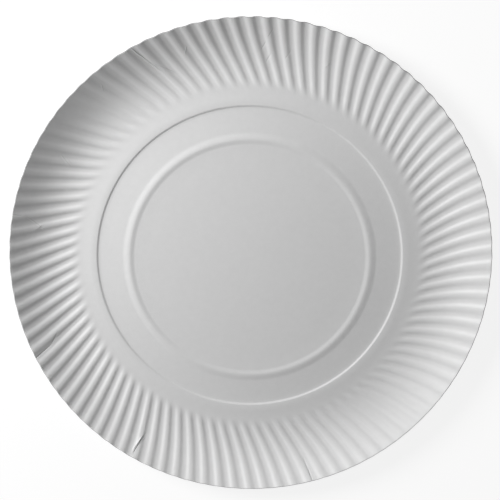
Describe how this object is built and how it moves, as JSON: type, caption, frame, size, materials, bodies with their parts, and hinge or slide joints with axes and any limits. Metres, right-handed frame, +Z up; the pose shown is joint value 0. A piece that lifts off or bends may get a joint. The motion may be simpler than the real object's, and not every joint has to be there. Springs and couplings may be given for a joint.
{
  "type": "paper plate",
  "caption": "Round shallow disposable plate of pressed white board, with an embossed bead and step round its flat middle and a swirled, fluted rim.",
  "frame": {"origin": "middle of the plane that the foot ring rests on", "axes": "+Z up through the middle of the plate, +X through the crest of one flute at the rim's edge"},
  "size_m": [0.2302, 0.2302, 0.0121],
  "materials": {
    "coated_board": "smooth white clay-coated board with a faint satin sheen, cut edge uncoated"
  },
  "bodies": {
    "root": {"plate": "coated_board"}
  },
  "joints": []
}
